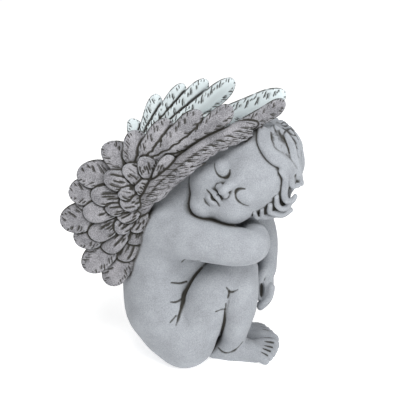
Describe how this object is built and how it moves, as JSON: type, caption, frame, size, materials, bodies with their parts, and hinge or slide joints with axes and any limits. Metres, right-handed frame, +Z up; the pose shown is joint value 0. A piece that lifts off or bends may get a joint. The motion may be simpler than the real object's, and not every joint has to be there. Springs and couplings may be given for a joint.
{
  "type": "cherub garden statue",
  "caption": "Garden statue of a sleeping winged cherub sitting with drawn-up knees, head laid on folded arms, wings closed over its head, cast in one piece.",
  "frame": {"origin": "bottom centre of the bounding box, on the ground the statue stands on", "axes": "+X the way the knees and toes point, +Y the figure's left side, +Z up"},
  "size_m": [0.2089, 0.1116, 0.2496],
  "materials": {
    "weathered_cast_stone": "pale grey cast stone with a dark olive wash left in the recesses and a whitish dry-brushed bloom on the raised forms"
  },
  "bodies": {
    "root": {"cherub_statue": "weathered_cast_stone"}
  },
  "joints": []
}
